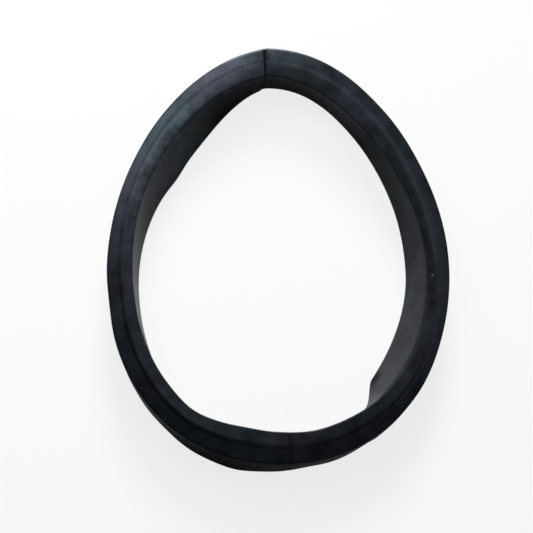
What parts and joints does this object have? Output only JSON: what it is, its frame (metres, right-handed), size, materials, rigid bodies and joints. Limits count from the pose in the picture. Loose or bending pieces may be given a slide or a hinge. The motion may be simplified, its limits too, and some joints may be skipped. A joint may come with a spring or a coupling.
{
  "type": "washing machine tub seal",
  "caption": "Soft dark rubber band closed into a loop, with a groove along its near face; it lies loose, gone egg-shaped, with a fold low on one side.",
  "frame": {"origin": "middle of the box around the band, on the plane of the far face, which is the surface it lies on", "axes": "+Z is the axis of the loop and points away from the floor, out of the grooved near face; +Y points to the crown, where the main splice is; +X points to three o'clock, seen from the near side, with the fold low on that side"},
  "size_m": [0.3122, 0.3972, 0.0355],
  "materials": {
    "rubber": "satin blue-black moulded rubber with a slight bloom"
  },
  "bodies": {
    "root": {"tub_seal": "rubber"}
  },
  "joints": []
}
